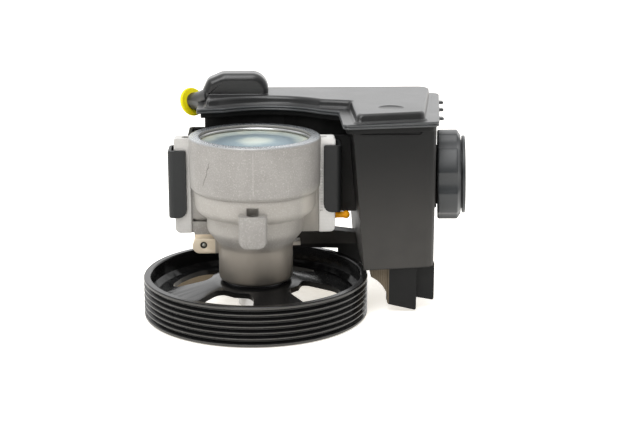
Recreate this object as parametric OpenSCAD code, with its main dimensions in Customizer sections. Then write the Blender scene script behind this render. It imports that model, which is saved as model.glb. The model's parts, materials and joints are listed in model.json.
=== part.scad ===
// Power steering vane pump with a moulded reservoir, a ribbed belt pulley and a side filler cap.
// Z is the shaft axis, Z = 0 is the pulley's lower face, -Y is the front, +X is the reservoir's side.

/* [Pulley] */
// Outside diameter of the rim
pulley_d = 136; // [128:1:140]
// Width of the rim
pulley_w = 24; // [23:0.5:26]
// Number of belt grooves
groove_n = 6; // [4:1:6]
// Distance between belt grooves
groove_pitch = 3.56; // [3.4:0.02:3.6]
// Depth of a belt groove
groove_depth = 2.4; // [1.8:0.1:2.8]
// Thickness of the rim
rim_t = 4.4; // [4:0.1:6]
// Thickness of the dished web
web_t = 3.2; // [2.6:0.1:4]
// Height of the web's top face where it meets the rim
web_rim_z = 11.5; // [9:0.5:14]
// Height of the face on the hub that the web seats on
hub_face_z = 20; // [19:0.5:21]
// Number of windows in the web
window_n = 4; // [3:1:5]
// Half the angle that a window spans
window_half = 24; // [18:0.5:26]
// Inner radius of the windows
window_r_in = 28.5; // [27:0.5:32]
// Outer radius of the windows
window_r_out = 52; // [46:0.5:56]
// Corner radius of the windows
window_round = 6; // [4:0.5:7]
// Direction of the first window
window_turn = 63.5; // [0:0.5:90]

/* [Shaft and hub] */
// Shaft diameter, also the bearing's bore
shaft_d = 15; // [14:0.5:16]
// Shaft diameter inside the rotor
spline_d = 13.6; // [12.5:0.1:14]
// Diameter of the hub's flange
hub_d = 38; // [37.5:0.1:38.5]
// Thickness of the hub's flange
hub_t = 4.2; // [3.8:0.1:4.4]
// Diameter of the hub's spigot in the pulley
hub_spigot_d = 22; // [21:0.1:22.4]
// Diameter of the pulley bolts' circle
hub_pcd = 32; // [31.6:0.1:32.2]
// Number of pulley bolts
hub_bolt_n = 3; // [3:1:4]
// Thread diameter of a pulley bolt
hub_bolt_d = 5; // [4:0.5:5]
// Thread core diameter of the puller hole in the shaft's end
puller_d = 6.8; // [5:0.1:7]
// Depth of the puller hole
puller_h = 16; // [12:1:20]

/* [Housing] */
// Diameter of the main body under its top
body_d = 78.6; // [77:0.2:80]
// Diameter of the body above the lower bead
barrel_d = 78; // [76.6:0.2:78.4]
// Diameter of the bowl under the bead
bowl_d = 73; // [71:0.2:74]
// Diameter of the waist under the bowl
waist_d = 58.4; // [57:0.2:60]
// Diameter of the nose
nose_d = 45; // [44.4:0.2:46]
// Height of the nose
nose_h = 23.5; // [23:0.5:25]
// Height of the cone between the nose and the waist
cone_h = 9.3; // [8:0.1:10]
// Height of the waist
waist_h = 7.6; // [7:0.1:9]
// Height of the bowl
bowl_h = 5.7; // [5:0.1:7]
// Gap between the pulley's web and the nose
nose_gap = 1.2; // [1:0.1:2]
// Height of the lip above the end cover
lip_h = 3.4; // [3:0.1:4]
// Diameter of the end cover's seat
cover_d = 66.4; // [66:0.2:67]
// Diameter of the bore that holds the pumping pieces
cavity_d = 62; // [61.6:0.2:62.4]

/* [Wings and bosses] */
// Distance from a mounting bolt's axis to the wing's edge
wing_edge = 8.3; // [7.8:0.1:9]
// Front face of the wings
wing_front_y = 8; // [6:0.5:9]
// Thickness of the wings
wing_t = 10; // [9.6:0.2:11]
// Height of the wings' lower faces
wing_z = 47; // [46:0.5:48]
// Width of the bar along each wing's edge
wing_bar_w = 9.8; // [9:0.2:10.4]
// How far the plate between the wings lies behind their front
plate_set = 1; // [0.6:0.1:1.2]
// Distance between the mounting bolts
mount_pitch = 80.6; // [80:0.2:81]
// Diameter of the mounting bolts' holes
mount_hole_d = 7; // [6.6:0.1:7.2]
// Width of the front boss
boss_w = 16.3; // [15:0.1:18]
// Offset of the front boss from the shaft's axis
boss_x = -1.6; // [-3:0.1:3]
// Front face of the front boss
boss_front_y = -40.5; // [-42:0.5:-40]
// Height of the front boss's lower end
boss_z = 50; // [49:0.5:51.5]
// Height of the front boss's top
boss_top_z = 69; // [68:0.5:70]
// Diameter of the front boss's threaded hole
boss_hole_d = 6.8; // [6:0.1:7]
// Length of the lug beside the nose, from the shaft's axis
lug_reach = 38.4; // [36:0.2:40]
// Height of the lug's lower edge
lug_z = 35; // [33:0.5:36]
// Height of the lug
lug_h = 9.2; // [8:0.1:10]

/* [Pumping pieces] */
// Thickness of the thrust plate
thrust_t = 6; // [5:0.5:7]
// Width of the cam ring
ring_w = 16; // [14:0.5:18]
// Thickness of the pressure plate
plate_t = 7; // [6.5:0.5:8]
// Height of the disc spring
disc_spring_h = 3.4; // [3:0.1:4]
// Thickness of the end cover
cover_t = 4.8; // [4.4:0.1:6]
// Rotor diameter
rotor_d = 39; // [38:0.2:39.2]
// Smallest radius of the cam
cam_r_min = 20; // [20:0.1:20.4]
// Largest radius of the cam
cam_r_max = 22.6; // [21.6:0.1:23]
// Thickness of a vane
vane_t = 1.8; // [1.4:0.1:2]
// Radial length of a vane
vane_l = 7.6; // [7:0.1:7.8]
// Radial travel of a vane into its slot
vane_travel = 1.8; // [1.4:0.1:2]

/* [Bearing and seals] */
// Outside diameter of the bearing
bearing_d = 35; // [34.6:0.1:35.4]
// Width of the bearing
bearing_w = 11; // [10:0.5:11.5]
// Ball diameter
ball_d = 5.8; // [5.4:0.1:6]
// Number of balls
ball_n = 9; // [7:1:9]
// Outside diameter of the shaft seal
seal_d = 26; // [24:0.5:28]
// Width of the shaft seal
seal_w = 7; // [6:0.5:8]
// Wall thickness of the plain bush
bush_t = 2; // [1.5:0.1:2.5]
// Length of the plain bush
bush_l = 12; // [8:0.5:14]

/* [Flow valve] */
// Diameter of the valve bore
valve_d = 15; // [14:0.1:15.6]
// Outside diameter of the cast valve barrel
valve_barrel_d = 23; // [22:0.5:24]
// Distance of the valve barrel behind the shaft's axis
valve_y = 27; // [26.5:0.5:28]
// Height of the valve barrel's axis
valve_z = 57; // [56.5:0.5:57.5]
// Half length of the valve barrel
valve_half = 30; // [29:0.5:30.5]
// Length of the spool
spool_l = 24; // [22:0.5:26]
// Core diameter of the pressure port's thread
port_d = 12.4; // [12:0.1:13]
// Depth of the pressure port's thread
port_h = 11.5; // [10:0.5:13]
// Offset of the pressure port from the shaft's axis
port_x = -12; // [-14:0.5:-8]
// Height of the suction port
suction_z = 94; // [92:0.5:95]
// Diameter of the suction port
suction_d = 18; // [16:0.5:19]

/* [Clips] */
// Thickness of a clip's sheet
clip_t = 2.2; // [1.6:0.1:2.6]
// Height of a clip
clip_h = 41.5; // [38:0.5:43]
// Distance from a wing's edge to the clip's outer face
clip_stand = 3.9; // [3.4:0.1:4.9]
// Width of a clip's front and back leaves
clip_leaf = 11; // [9:0.5:11.5]
// Height of the left clip's lower end
clip_left_z = 56.8; // [56:0.2:60]
// Height of the right clip's lower end
clip_right_z = 59.6; // [59:0.2:61]
// Thickness of the reservoir's rails that the clips hold
rail_t = 5; // [4:0.5:6]
// Diameter of the clip's lock pin
lock_pin_d = 4.6; // [4:0.1:5]
// Length of the lock pin beyond the wing
lock_pin_l = 9.4; // [8:0.2:11]

/* [Reservoir] */
// Height of the joint between the tank and its lid
split_z = 115; // [114:0.5:117]
// Height of the tank's floor
tank_z = 28; // [27:0.5:30]
// Height of the floor of the arm behind the pump
arm_z = 80; // [78:0.5:81]
// Wall thickness of the tank and the lid
wall = 2.5; // [2:0.1:3]
// Thickness of the lid's flange
lid_flange_t = 3; // [2.5:0.1:4]
// Height of the lid above the joint
lid_h = 8.5; // [7.5:0.1:10]
// Height of the hump above the lid
hump_h = 13; // [11:0.5:14]
// Depth of the hump
hump_w = 19; // [17:0.5:21]
// Diameter of the dimple in the lid
dimple_d = 16; // [12:0.5:18]
// Outside diameter of the return stub
stub_d = 11; // [10:0.2:11.6]
// Length of the return stub
stub_l = 15; // [14:0.5:17]
// Diameter of the return stub's bore
stub_bore_d = 7; // [6:0.2:7.6]
// Diameter of the return cap's flange
return_cap_d = 18.4; // [16:0.2:19]

/* [Filler cap] */
// Diameter over the cap's lobes
cap_d = 56; // [54:0.5:57]
// Thickness of the cap's lobed body
cap_t = 14.5; // [14:0.5:16]
// Diameter of the cap's outer disc
cap_disc_d = 46; // [42:0.5:47]
// Thickness of the cap's outer disc
cap_disc_t = 3; // [2:0.2:4]
// Number of lobes
lobe_n = 6; // [5:1:8]
// Outside diameter of the filler neck
neck_d = 37; // [36:0.2:37.6]
// Wall thickness of the filler neck
neck_wall = 2.6; // [2.2:0.1:3]
// Diameter of the collar at the neck's root
collar_d = 42; // [41:0.2:44]
// Height of the cap's axis
cap_z = 76.5; // [75:0.5:79]
// Turn of the cap's axis towards the front
cap_yaw = 7; // [5:0.5:8]
// Length of the dipstick
dipstick_l = 38; // [30:1:44]

/* [Hidden] */
$fn = 96;
cut = 1;
run = 0.05;
loose = 0.4;

ALLOY = [0.68, 0.67, 0.64];
STEEL = [0.62, 0.62, 0.63];
ZINC = [0.66, 0.69, 0.64];
BLACK = [0.06, 0.06, 0.065];
PLASTIC = [0.17, 0.17, 0.175];
RUBBER = [0.05, 0.05, 0.05];
BRONZE = [0.62, 0.46, 0.24];
YELLOW = [0.95, 0.85, 0.05];
ORANGE = [0.95, 0.5, 0.05];

// Levels along the shaft, from the pulley up
nose_z = hub_face_z + nose_gap;
cone_z = nose_z + nose_h;
waist_z = cone_z + cone_h;
bowl_z = waist_z + waist_h;
bowl_top_z = bowl_z + bowl_h;
cavity_z = bowl_top_z + 1;
ring_z = cavity_z + thrust_t;
plate_z = ring_z + ring_w;
disc_spring_z = plate_z + plate_t;
cover_z = disc_spring_z + disc_spring_h;
cover_top_z = cover_z + cover_t;
body_top_z = cover_top_z + lip_h;
bead_low_z = bowl_top_z + 6;
bead_z = bead_low_z + 4.5;
barrel_z = bead_z + 4;

// Pieces round the bearing
hub_recess_h = hub_t + hub_face_z - nose_z + 0.8;
bearing_ring_t = 1.5;
bearing_ring_z = nose_z + hub_recess_h + 0.2;
bearing_z = bearing_ring_z + bearing_ring_t;
seal_z = bearing_z + bearing_w;
bush_z = cavity_z - bush_l;
ball_pitch_r = (shaft_d + bearing_d) / 4;
ball_gap = 0.1;
race_t = (bearing_d - shaft_d) / 4 - ball_d / 2 + 0.75;

// Pulley
pulley_r = pulley_d / 2;
rim_in_r = pulley_r - rim_t;
web_flat_r = 24.5;
hub_spigot_l = 12;

// Pump cartridge
vane_n = 10;
cartridge_r = cavity_d / 2 - run;
vane_tip_r = cam_r_min - loose;
slot_floor_r = vane_tip_r - vane_l - vane_travel - 0.3;
dowel_d = 4;
dowel_pcd = 53;
shaft_top_z = plate_z + 3.4;

// Wings
wing_reach = mount_pitch / 2 + wing_edge;
wing_top_z = cover_top_z;
clip_reach = wing_reach + clip_stand;
wing_back_y = wing_front_y + wing_t;
mount_y = wing_front_y + wing_t / 2;
lock_pin_z = 56.4;
lock_pin_in = 3.6;

// Flow valve
spool_x = -valve_half + 8;
plug_l = 9;
spool_pocket = 10;
plug_x = valve_half - plug_l;
valve_spring_x = spool_x + spool_l;
valve_spring_l = plug_x - valve_spring_x;
port_wall = 4.3;
port_stand = 8.5;
port_boss_d = port_d + 2 * port_wall;
port_face_y = valve_y + valve_barrel_d / 2 + port_stand;
suction_face_y = body_d / 2 + 4;
suction_boss_d = suction_d + 8;

// Reservoir outlines, seen from above
rail_back_y = wing_back_y + rail_t;
arm_c = [7, 4];
arm_back_y = 90;
arm_left_x = -31;
tank_plan = [[54, -14.2], [108, -6.6], [116, 88], [54, 88]];
tank_radii = [3, 7, 7, 3];
tank_stand = 5;
tank_slope = 7.5;
tank_left_top = clip_reach + tank_stand;
tank_left_base = tank_left_top + tank_slope;
lid_flange_front = [[51.5, -18], [109, -9.5], [122.5, 95], [-36, 95], [-36, 37]];
lid_top_front = [[59.3, -14.6], [100.8, -5.5], [115.5, 90], [-30, 90], [-30, 41]];
lid_ledge_h = lid_flange_t + 0.9;
lid_ledge_w = 1.2;
lid_top_z = split_z + lid_h;
hump_x = -33;
hump_l = 42;
hump_y = 59;
stub_at = [-30, 65, split_z + 6];
stub_turn = 131;
stub_dip = 18;

// Filler cap
cap_tilt = 1.5;
cap_side = [109.4, 34];
collar_l = 4.2;
neck_l = 14;
thread_gap = 0.5;
seal_t = 1.6;
lobe_cut_r = 13.7;
lobe_cut_h = 2.2;

function unit(v) = v / norm(v);
function polar(r, a) = [r * cos(a), r * sin(a)];
function arc(c, r, a0, a1, n) = [for (i = [0:n]) c + polar(r, a0 + (a1 - a0) * i / n)];

// Points of one rounded corner at b, between the edges from a and to c
function corner(a, b, c, r, n) =
  let (
    u = unit(a - b),
    v = unit(c - b),
    half = acos(u * v) / 2,
    m = b + unit(u + v) * r / sin(half),
    p = b + u * r / tan(half) - m,
    q = b + v * r / tan(half) - m,
    a0 = atan2(p.y, p.x),
    turn = (atan2(q.y, q.x) - a0 + 540) % 360 - 180
  )
  r <= 0 ? [b] : [for (i = [0:n]) m + polar(r, a0 + turn * i / n)];

// Outline with each corner rounded by its own radius
function rounded(pts, radii, n = 4) =
  let (k = len(pts))
  [for (i = [0:k - 1]) each corner(pts[(i + k - 1) % k], pts[i], pts[(i + 1) % k], radii[i], n)];

// Outline moved inwards by d
function inset(pts, d) =
  let (k = len(pts))
  [for (i = [0:k - 1])
    let (
      e0 = unit(pts[i] - pts[(i + k - 1) % k]),
      e1 = unit(pts[(i + 1) % k] - pts[i]),
      n0 = [-e0.y, e0.x],
      n1 = [-e1.y, e1.x]
    )
    pts[i] + d * (n0 + n1) / (1 + n0 * n1)];

// Outline of the lid and the tank's top: front corners, then the arc round the pump, then the inner corner
function wrap(front, r, inner, a0, a1) = concat(front, arc(arm_c, r, a0, a1, 8), [inner]);
flange_line = wrap(lid_flange_front, 44.5, [51.5, 27], 126, 42);
plateau_line = wrap(lid_top_front, 49, [59.3, 34], 128, 46);
arm_line = [[70, 34], [70, arm_back_y - 3], [arm_left_x, arm_back_y], [arm_left_x, 41.2]];
arm_outer = concat(arm_line, arc(arm_c, 49.5, 130, 45, 8));

lid_radii = [3, 5, 5, 5, 1.5, 0, 0, 0, 0, 0, 0, 0, 0, 0, 3];
arm_radii = [0, 0, 6, 1.5, 0, 0, 0, 0, 0, 0, 0, 0, 0];

// Round ring with a rectangular section
module ring(r_in, r_out, z0, z1) {
  translate([0, 0, z0]) difference() {
    cylinder(r = r_out, h = z1 - z0);
    translate([0, 0, -cut]) cylinder(r = r_in, h = z1 - z0 + 2 * cut);
  }
}

module torus(r, d, z) {
  translate([0, 0, z]) rotate_extrude() translate([r, 0]) circle(d = d, $fn = 32);
}

// Curved slot with round ends
module arc_slot(r, w, a0, a1, z, h) {
  translate([0, 0, z]) {
    rotate([0, 0, a0]) rotate_extrude(angle = a1 - a0) translate([r - w / 2, 0]) square([w, h]);
    for (a = [a0, a1]) rotate([0, 0, a]) translate([r, 0, 0]) cylinder(d = w, h = h, $fn = 32);
  }
}

// Upright slab cut from an outline in X and Z
module slab(pts, y0, y1) {
  translate([0, y1, 0]) rotate([90, 0, 0]) linear_extrude(y1 - y0) polygon(pts);
}

module along_x(x) {
  translate([x, 0, 0]) rotate([0, 90, 0]) children();
}

module along_y(x, y, z) {
  translate([x, y, z]) rotate([-90, 0, 0]) children();
}

// Frame of the filler cap: its own Z points out of the neck
module at_cap() {
  translate([cap_side.x, cap_side.y, cap_z]) rotate([0, 90 - cap_tilt, -cap_yaw]) children();
}

// Frame of the return stub: its own Z points out of the stub
module at_stub() {
  translate(stub_at) rotate([0, 90 + stub_dip, stub_turn]) children();
}

module housing_outside() {
  nose_r = nose_d / 2;
  flare = waist_d / 2 - nose_r;
  bowl_r = 7.1;
  shoulder_r = 3.4;
  rotate_extrude() polygon(concat(
    [[0, nose_z]],
    arc([nose_r - 2.2, nose_z + 2], 2, -90, 0, 5),
    [for (i = [0:10]) let (t = i / 10) [nose_r + flare * (1 - cos(180 * t)) / 2, cone_z - 3 + (cone_h + 3) * t]],
    [[waist_d / 2 + 0.2, bowl_z]],
    arc([bowl_d / 2 - bowl_r - 0.3, bowl_top_z + 1.5], bowl_r, -62, 0, 8),
    [[bowl_d / 2, bead_low_z], [bowl_d / 2 + 0.2, bead_z - 1.6]],
    arc([barrel_d / 2 - shoulder_r, bead_z - 0.9 + shoulder_r], shoulder_r, -80, 0, 6),
    [
      [barrel_d / 2, barrel_z],
      [body_d / 2, body_top_z - 0.8],
      [body_d / 2 - 0.6, body_top_z],
      [0, body_top_z]
    ]
  ));
}

module wings() {
  bar_x = wing_reach - wing_bar_w;
  top = [[-wing_reach, wing_top_z], [-wing_reach, wing_z], [wing_reach, wing_z], [wing_reach, wing_top_z]];
  slab(rounded(top, [1.5, 3, 3, 1.5]), wing_front_y + plate_set, wing_back_y);
  for (side = [-1, 1]) {
    bar = [
      [side * wing_reach, wing_top_z], [side * bar_x, wing_top_z],
      [side * bar_x, wing_z], [side * wing_reach, wing_z]
    ];
    edge = [1.5, 0.6, 0.6, 3];
    turned = [3, 2, 1, 0];
    line = side > 0 ? bar : [for (i = turned) bar[i]];
    slab(rounded(line, side > 0 ? edge : [for (i = turned) edge[i]]), wing_front_y, wing_back_y);
  }
}

module front_boss() {
  x0 = boss_x - boss_w / 2;
  x1 = boss_x + boss_w / 2;
  translate([0, 0, boss_z]) linear_extrude(boss_top_z - boss_z)
    polygon(rounded([[x0, boss_front_y], [x1, boss_front_y], [x1, -20], [x0, -20]], [2.4, 2.4, 0, 0]));
}

// Lower corners of the front boss are cut round
module front_boss_corners() {
  r = 5;
  back_y = -waist_d / 2 - 0.6;
  for (side = [-1, 1]) {
    x = boss_x + side * (boss_w / 2 - r);
    translate([x, back_y, boss_z + r]) rotate([90, 0, 0]) linear_extrude(back_y - boss_front_y + cut)
      polygon(concat([[side * (r + cut), 0], [side * r, 0]],
        arc([0, 0], r, side > 0 ? 0 : 180, side > 0 ? -90 : 270, 6),
        [[0, -r - cut], [side * (r + cut), -r - cut]]));
  }
}

module nose_lug() {
  z1 = lug_z + lug_h;
  low = [[-lug_reach, lug_z], [0, lug_z], [0, z1], [-lug_reach, z1]];
  slab(rounded(low, [4.4, 0, 0, 4.4]), wing_front_y - 4, wing_front_y + 4);
  slab([[0, z1 - 4.6], [nose_d / 2 + 4.8, z1 - 4.6], [nose_d / 2 + 4.8, z1 - 2], [0, z1 - 2]],
    wing_front_y - 4, wing_front_y + 4);
  slab([[-lug_reach + 1, z1 - 0.5], [nose_d / 2 + 2, z1 - 0.5], [nose_d / 2 + 2, wing_z + 1],
    [-lug_reach + 1, wing_z + 1]], wing_front_y + 1, wing_front_y + 7);
}

module pump_housing() {
  lug_hole = [-lug_reach + 6.8, lug_z + lug_h / 2 + 0.6];
  color(ALLOY) difference() {
    union() {
      housing_outside();
      wings();
      front_boss();
      nose_lug();
      translate([0, valve_y, valve_z]) along_x(-valve_half) cylinder(d = valve_barrel_d, h = 2 * valve_half);
      along_y(port_x, valve_y, valve_z) cylinder(d = port_boss_d, h = port_face_y - valve_y);
      along_y(0, cavity_d / 2, suction_z) cylinder(d = suction_boss_d, h = suction_face_y - cavity_d / 2);
    }
    front_boss_corners();
    // Cover seat, ring groove and the bore for the pumping pieces
    translate([0, 0, cover_z]) cylinder(d = cover_d, h = body_top_z);
    translate([0, 0, cover_top_z - 0.1]) cylinder(d = cover_d + 2.2, h = 2);
    translate([0, 0, cavity_z]) cylinder(d = cavity_d, h = body_top_z);
    // Shaft passage, bush, seal, bearing and hub recess
    translate([0, 0, bush_z]) cylinder(d = shaft_d + 2 * bush_t, h = bush_l + cut);
    translate([0, 0, nose_z]) cylinder(d = shaft_d + 2 * loose, h = body_top_z - nose_z);
    translate([0, 0, nose_z]) cylinder(d = seal_d, h = seal_z + seal_w - nose_z);
    translate([0, 0, nose_z - cut]) cylinder(d = bearing_d, h = seal_z - nose_z + cut);
    translate([0, 0, bearing_ring_z]) cylinder(d = bearing_d + 2, h = bearing_ring_t);
    translate([0, 0, nose_z - cut]) cylinder(d = hub_d + 2 * loose, h = hub_recess_h + cut);
    // Mounting bolt holes
    for (side = [-1, 1])
      translate([side * mount_pitch / 2, mount_y, wing_z - cut])
        cylinder(d = mount_hole_d, h = wing_top_z - wing_z + 2 * cut);
    // Front boss thread and the recess that lets the drill out above it
    translate([boss_x, boss_front_y + 4.6, boss_z - cut])
      cylinder(d = boss_hole_d, h = bead_low_z - boss_z + cut);
    // Lug hole and its countersink, and the casting slot beside the left bar
    along_y(lug_hole.x, 0, lug_hole.y) cylinder(d = 2.4, h = wing_front_y + 8);
    along_y(lug_hole.x, wing_front_y - 5, lug_hole.y) cylinder(d = 4.2, h = 1.6);
    translate([10.6 - wing_reach, wing_front_y, wing_z + 6.8]) cube([9, 3.2, 1.8]);
    // Valve bore, pressure port and suction port
    translate([0, valve_y, valve_z]) along_x(spool_x - 0.3) cylinder(d = valve_d, h = 2 * valve_half);
    along_y(port_x, port_face_y - port_h, valve_z) cylinder(d = port_d, h = port_h + cut);
    along_y(port_x, valve_y, valve_z) cylinder(d = 6, h = port_face_y - valve_y);
    along_y(0, 0, suction_z) cylinder(d = suction_d + 2 * loose, h = suction_face_y + cut);
    // Socket for the lock pin
    translate([0, mount_y, lock_pin_z]) along_x(wing_reach - lock_pin_in)
      cylinder(d = lock_pin_d + 2 * run, h = lock_pin_in + cut, $fn = 48);
  }
}

module end_cover() {
  r = cover_d / 2 - run;
  color(ZINC) difference() {
    rotate_extrude() polygon(concat(
      [
        [0, cover_z], [r - 0.5, cover_z], [r, cover_z + 0.5], [r, cover_top_z - 0.1],
        [r - 3.2, cover_top_z - 0.1], [r - 4.4, cover_top_z - 0.9], [r - 8, cover_top_z - 0.9]
      ],
      [for (i = [1:6]) [(r - 8) * (1 - i / 6), cover_top_z - 0.9 + 1.3 * (1 - pow(1 - i / 6, 2))]]
    ));
    ring(r - 2, r + cut, cover_z + 1.4, cover_z + 3.4);
  }
}

module cover_retaining_ring() {
  r = cover_d / 2 + 0.1;
  gap = 96;
  color(STEEL) translate([0, 0, cover_top_z + 0.85]) rotate([0, 0, 270 + gap / 2])
    rotate_extrude(angle = 360 - gap) translate([r, 0]) circle(d = 1.7, $fn = 24);
}

module cover_o_ring() {
  color(RUBBER) torus(cover_d / 2 - 1.05, 1.9, cover_z + 2.4);
}

module disc_spring() {
  t = 1;
  in_r = cartridge_r * 0.39;
  out_r = cartridge_r * 0.84;
  color(STEEL) rotate_extrude() polygon([
    [in_r, cover_z - t], [in_r, cover_z], [out_r, disc_spring_z + t], [out_r, disc_spring_z]
  ]);
}

// Plate of the pumping stack with two dowel holes
module stack_plate(z, t) {
  difference() {
    translate([0, 0, z]) cylinder(r = cartridge_r, h = t);
    for (side = [-1, 1])
      translate([side * dowel_pcd / 2, 0, z - cut]) cylinder(d = dowel_d, h = t + 2 * cut);
  }
}

module pressure_plate() {
  color(STEEL) difference() {
    stack_plate(plate_z, plate_t);
    translate([0, 0, plate_z - cut]) cylinder(d = spline_d + 5.4, h = shaft_top_z - plate_z + 1 + cut);
    for (a = [45, 225]) arc_slot(cam_r_min - 1.4, 4, a - 24, a + 24, plate_z - cut, plate_t + 2 * cut);
  }
}

module cam_ring() {
  n = 72;
  mean = (cam_r_max + cam_r_min) / 2;
  swing = (cam_r_max - cam_r_min) / 2;
  color(STEEL) difference() {
    stack_plate(ring_z, ring_w);
    translate([0, 0, ring_z - cut]) linear_extrude(ring_w + 2 * cut)
      polygon([for (i = [0:n - 1]) polar(mean - swing * cos(720 * i / n), 360 * i / n)]);
  }
}

module thrust_plate() {
  color(STEEL) difference() {
    stack_plate(cavity_z, thrust_t);
    translate([0, 0, cavity_z - cut]) cylinder(d = shaft_d + 2 * loose, h = thrust_t + 2 * cut);
    for (a = [135, 315]) arc_slot(cam_r_min - 1.4, 4, a - 24, a + 24, ring_z - 3, 3 + cut);
  }
}

module dowel_pins() {
  color(STEEL) for (side = [-1, 1])
    translate([side * dowel_pcd / 2, 0, cavity_z]) cylinder(d = dowel_d, h = disc_spring_z - cavity_z);
}

module rotor() {
  color(STEEL) difference() {
    translate([0, 0, ring_z + run]) cylinder(d = rotor_d, h = ring_w - 2 * run);
    translate([0, 0, ring_z - cut]) cylinder(d = spline_d, h = ring_w + 2 * cut);
    for (i = [0:vane_n - 1]) rotate([0, 0, vane_angle(i)])
      translate([slot_floor_r, -vane_t / 2 - run, ring_z - cut])
        cube([rotor_d, vane_t + 2 * run, ring_w + 2 * cut]);
  }
}

function vane_angle(i) = 360 * i / vane_n;

module vane(i) {
  color(ZINC) rotate([0, 0, vane_angle(i)])
    translate([vane_tip_r - vane_l, -vane_t / 2, ring_z + 2 * run]) cube([vane_l, vane_t, ring_w - 4 * run]);
}

module rotor_circlip() {
  color(STEEL) difference() {
    ring(spline_d / 2 - 0.8, spline_d / 2 + 1.7, plate_z + 0.3, plate_z + 1.5);
    translate([-1.5, 0, plate_z]) cube([3, spline_d, 2]);
  }
}

module drive_shaft() {
  color(STEEL) difference() {
    union() {
      cylinder(d = shaft_d, h = ring_z - loose);
      cylinder(d = spline_d, h = shaft_top_z);
    }
    ring(spline_d / 2 - 0.8, spline_d, plate_z + 0.3, plate_z + 1.5);
    translate([0, 0, -cut]) cylinder(d = puller_d, h = puller_h + cut);
  }
}

module plain_bush() {
  color(BRONZE) ring(shaft_d / 2 + run, shaft_d / 2 + bush_t, bush_z, cavity_z);
}

module shaft_seal() {
  lip_r = shaft_d / 2 + run;
  r = seal_d / 2;
  color(RUBBER) translate([0, 0, seal_z]) rotate_extrude() polygon([
    [r, 0], [r, seal_w], [r - 1.5, seal_w], [r - 1.5, 2.2], [lip_r + 2.4, 2.2], [lip_r + 1.4, seal_w - 1.2],
    [lip_r, seal_w - 2.2], [lip_r + 1, 1.6], [lip_r + 1, 0]
  ]);
}

module bearing_groove() {
  torus(ball_pitch_r, ball_d + 2 * ball_gap, bearing_z + bearing_w / 2);
}

module bearing_outer_race() {
  color(STEEL) difference() {
    ring(bearing_d / 2 - race_t, bearing_d / 2, bearing_z, seal_z);
    bearing_groove();
  }
}

module bearing_inner_race() {
  color(STEEL) difference() {
    ring(shaft_d / 2, shaft_d / 2 + race_t, bearing_z, seal_z);
    bearing_groove();
  }
}

module each_ball() {
  for (i = [0:ball_n - 1])
    rotate([0, 0, 360 * i / ball_n]) translate([ball_pitch_r, 0, bearing_z + bearing_w / 2]) children();
}

module bearing_balls() {
  color(STEEL) each_ball() sphere(d = ball_d, $fn = 40);
}

module bearing_cage() {
  half = ball_d / 2 + 0.7;
  mid = bearing_z + bearing_w / 2;
  color(BRONZE) difference() {
    ring(ball_pitch_r - 0.9, ball_pitch_r + 0.9, mid - half, mid + half);
    each_ball() sphere(d = ball_d + 2 * ball_gap, $fn = 40);
  }
}

module bearing_circlip() {
  r = bearing_d / 2 + 1;
  color(STEEL) difference() {
    ring(r - 2.8, r, bearing_ring_z, bearing_z);
    translate([-3, 0, bearing_ring_z - cut]) cube([6, r + cut, bearing_ring_t + 2 * cut]);
  }
}

module hub_bolt_holes(d, z, h) {
  for (i = [0:hub_bolt_n - 1])
    rotate([0, 0, 360 * i / hub_bolt_n + 30]) translate([hub_pcd / 2, 0, z]) cylinder(d = d, h = h, $fn = 48);
}

module pulley_hub() {
  spigot_z = hub_face_z - web_t - hub_spigot_l;
  color(STEEL) difference() {
    union() {
      translate([0, 0, hub_face_z]) cylinder(d = hub_d, h = hub_t);
      translate([0, 0, spigot_z]) cylinder(d = hub_spigot_d, h = hub_face_z - spigot_z + cut);
    }
    cylinder(d = shaft_d, h = body_top_z);
    hub_bolt_holes(hub_bolt_d, hub_face_z - cut, hub_t + 2 * cut);
  }
}

// Outline of one window in the web: a sector with rounded corners
module window_outline() {
  inner = arc([0, 0], window_r_in, window_half, -window_half, 2);
  outer = arc([0, 0], window_r_out, -window_half, window_half, 4);
  polygon(rounded(concat(inner, outer),
    concat([window_round, 0, window_round], [window_round, 0, 0, 0, window_round]), 6));
}

module pulley() {
  rib_z = [for (i = [0:groove_n - 1]) pulley_w / 2 + (i - (groove_n - 1) / 2) * groove_pitch];
  groove_half = groove_pitch / 2 - 0.3;
  edge = 0.6;
  color(BLACK) difference() {
    rotate_extrude() polygon(concat(
      [[rim_in_r + edge, 0], [pulley_r - edge, 0], [pulley_r, edge]],
      [for (z = rib_z) each [
        [pulley_r, z - groove_half], [pulley_r - groove_depth, z - 0.35],
        [pulley_r - groove_depth, z + 0.35], [pulley_r, z + groove_half]
      ]],
      [
        [pulley_r, pulley_w - edge], [pulley_r - edge, pulley_w], [rim_in_r + edge, pulley_w],
        [rim_in_r, pulley_w - edge], [rim_in_r, web_rim_z + 3], [rim_in_r - 3, web_rim_z],
        [web_flat_r + 2, hub_face_z - 0.4], [web_flat_r, hub_face_z], [hub_spigot_d / 2 + run, hub_face_z],
        [hub_spigot_d / 2 + run, hub_face_z - web_t], [web_flat_r, hub_face_z - web_t],
        [rim_in_r - 3, web_rim_z - web_t], [rim_in_r, web_rim_z - web_t - 3], [rim_in_r, edge]
      ]
    ));
    for (i = [0:window_n - 1])
      rotate([0, 0, window_turn + 360 * i / window_n]) linear_extrude(pulley_w) window_outline();
    hub_bolt_holes(hub_bolt_d + 0.5, 0, pulley_w);
  }
}

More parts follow.
